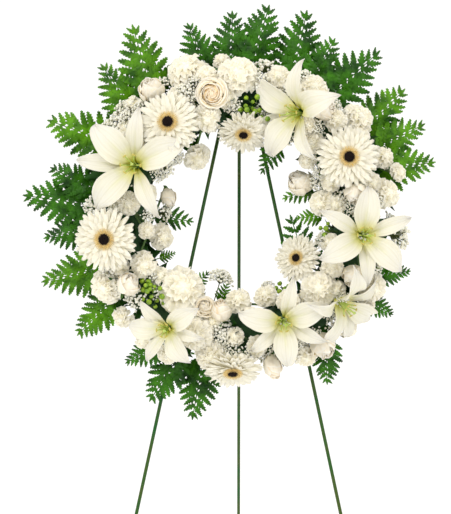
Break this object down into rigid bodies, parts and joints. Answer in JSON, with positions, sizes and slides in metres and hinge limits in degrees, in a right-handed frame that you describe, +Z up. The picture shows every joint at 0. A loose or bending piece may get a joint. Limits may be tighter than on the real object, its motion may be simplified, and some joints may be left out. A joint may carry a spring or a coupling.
{
  "type": "funeral wreath on easel",
  "caption": "Ring of white lilies, gerberas, roses, carnations, baby's breath and leatherleaf fern in a floral-foam tray, hung on a folding wire tripod easel.",
  "frame": {"origin": "the middle of the object's box, on the floor", "axes": "+Z up; the wreath's face looks along -Y and leans back with the front legs; +X is to the right as seen from the front"},
  "size_m": [0.6966, 0.6868, 1.3728],
  "materials": {
    "ivory_petal": "soft",
    "cream_petal": "soft",
    "gerbera_eye": "matte",
    "green_bud": "satin",
    "fern_leaf": "satin",
    "wet_foam": "matte",
    "tray_plastic": "satin",
    "green_enamel": "gloss",
    "vinyl_tip": "matte"
  },
  "bodies": {
    "stand": {"lily_left": "ivory_petal", "lily_top": "ivory_petal", "lily_low_left": "ivory_petal", "lily_right": "ivory_petal", "lily_low": "ivory_petal", "lily_low_right": "ivory_petal", "gerbera_top_left": "ivory_petal", "gerbera_top_left_eye": "gerbera_eye", "gerbera_right": "ivory_petal", "gerbera_right_eye": "gerbera_eye", "gerbera_inner_top": "ivory_petal", "gerbera_inner_top_eye": "gerbera_eye", "gerbera_left": "ivory_petal", "gerbera_left_eye": "gerbera_eye", "gerbera_bottom": "ivory_petal", "gerbera_bottom_eye": "gerbera_eye", "gerbera_inner_right": "ivory_petal", "gerbera_inner_right_eye": "gerbera_eye", "roses_top_left": "cream_petal", "rose_top_right": "cream_petal", "roses_right": "cream_petal", "roses_left": "cream_petal", "roses_low": "cream_petal", "rose_low_right": "cream_petal", "carnations_top_left": "ivory_petal", "carnations_top_right": "ivory_petal", "carnations_inner_top_right": "ivory_petal", "carnations_right": "ivory_petal", "carnations_inner_top_left": "ivory_petal", "carnations_left": "ivory_petal", "carnations_outer_left": "ivory_petal", "carnations_bottom_left": "ivory_petal", "carnations_inner_low": "ivory_petal", "carnations_low_right": "ivory_petal", "buds_top": "green_bud", "buds_left": "green_bud", "breath_top_left": "ivory_petal", "breath_top": "ivory_petal", "breath_right": "ivory_petal", "breath_inner_low": "ivory_petal", "fern_upper_left": "fern_leaf", "fern_top": "fern_leaf", "fern_top_right": "fern_leaf", "fern_upper_right": "fern_leaf", "fern_low_right": "fern_leaf", "fern_bottom_left": "fern_leaf", "fern_low_left": "fern_leaf", "fern_left": "fern_leaf", "foam_ring": "wet_foam", "ring_tray": "tray_plastic", "leg_front_left": "green_enamel", "leg_front_right": "green_enamel", "apex_sleeve": "green_enamel", "hinge_bar": "green_enamel", "crossbar_upper": "green_enamel", "crossbar_lower": "green_enamel", "foot_front_left": "vinyl_tip", "foot_front_right": "vinyl_tip"},
    "back_leg": {"leg_back": "green_enamel", "foot_back": "vinyl_tip"}
  },
  "joints": [
    {"name": "back_leg_fold", "type": "hinge", "parent": "stand", "child": "back_leg", "pos_m": [0.01766, -0.06691, 1.24584], "axis": [1, 0, 0], "range_deg": [-30, 0]}
  ]
}
